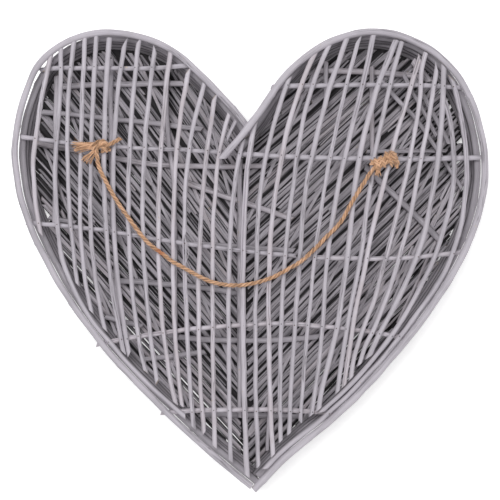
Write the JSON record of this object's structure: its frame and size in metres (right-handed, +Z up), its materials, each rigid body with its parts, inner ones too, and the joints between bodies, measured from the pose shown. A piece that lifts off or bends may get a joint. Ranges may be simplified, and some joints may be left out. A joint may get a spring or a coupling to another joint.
{
  "type": "wicker heart ornament",
  "caption": "Flat hanging heart of woven willow rods: stacked hoops, a slanted stick front, an open grid of uprights at the back and a slack jute hanger.",
  "frame": {"origin": "on the surface that the heart lies on, under the middle of the outline's box", "axes": "+Z up, out of the heart's back; +Y towards the two lobes; +X to the right as the back is seen"},
  "size_m": [0.4994, 0.4866, 0.0494],
  "materials": {
    "near_willow": "thin lilac-grey wash on peeled willow, matt",
    "inner_willow": "aged grey willow, matt",
    "jute": "natural twisted jute, fibrous"
  },
  "bodies": {
    "root": {"crossbar_1_left": "near_willow", "crossbar_1_right": "near_willow", "crossbar_2_left": "near_willow", "crossbar_2_right": "near_willow", "crossbar_3_left": "near_willow", "crossbar_3_right": "near_willow", "crossbar_4": "near_willow", "crossbar_5": "near_willow", "hanger_knot_left": "jute", "hanger_knot_right": "jute", "hanger_rope": "jute", "inner_frame_left": "inner_willow", "inner_frame_right": "inner_willow", "panel_left": "inner_willow", "panel_right": "inner_willow", "rim_1_left": "inner_willow", "rim_1_right": "inner_willow", "rim_2_left": "inner_willow", "rim_2_right": "inner_willow", "rim_3_left": "inner_willow", "rim_3_right": "inner_willow", "rim_4_left": "inner_willow", "rim_4_right": "inner_willow", "rim_back_left": "near_willow", "rim_back_right": "near_willow", "upright_01": "near_willow", "upright_02": "near_willow", "upright_03": "near_willow", "upright_04": "near_willow", "upright_05": "near_willow", "upright_06": "near_willow", "upright_07": "near_willow", "upright_08": "near_willow", "upright_09": "near_willow", "upright_10": "near_willow", "upright_11": "near_willow", "upright_12": "near_willow", "upright_13": "near_willow", "upright_14": "near_willow", "upright_14_twig": "near_willow", "upright_15": "near_willow", "upright_16": "near_willow", "upright_17": "near_willow", "upright_18": "near_willow", "upright_19": "near_willow", "upright_20": "near_willow", "upright_21": "near_willow", "upright_22": "near_willow", "upright_23": "near_willow", "upright_24": "near_willow", "upright_25": "near_willow", "upright_26": "near_willow", "upright_27": "near_willow", "upright_28": "near_willow", "upright_29": "near_willow", "upright_30": "near_willow"}
  },
  "joints": []
}
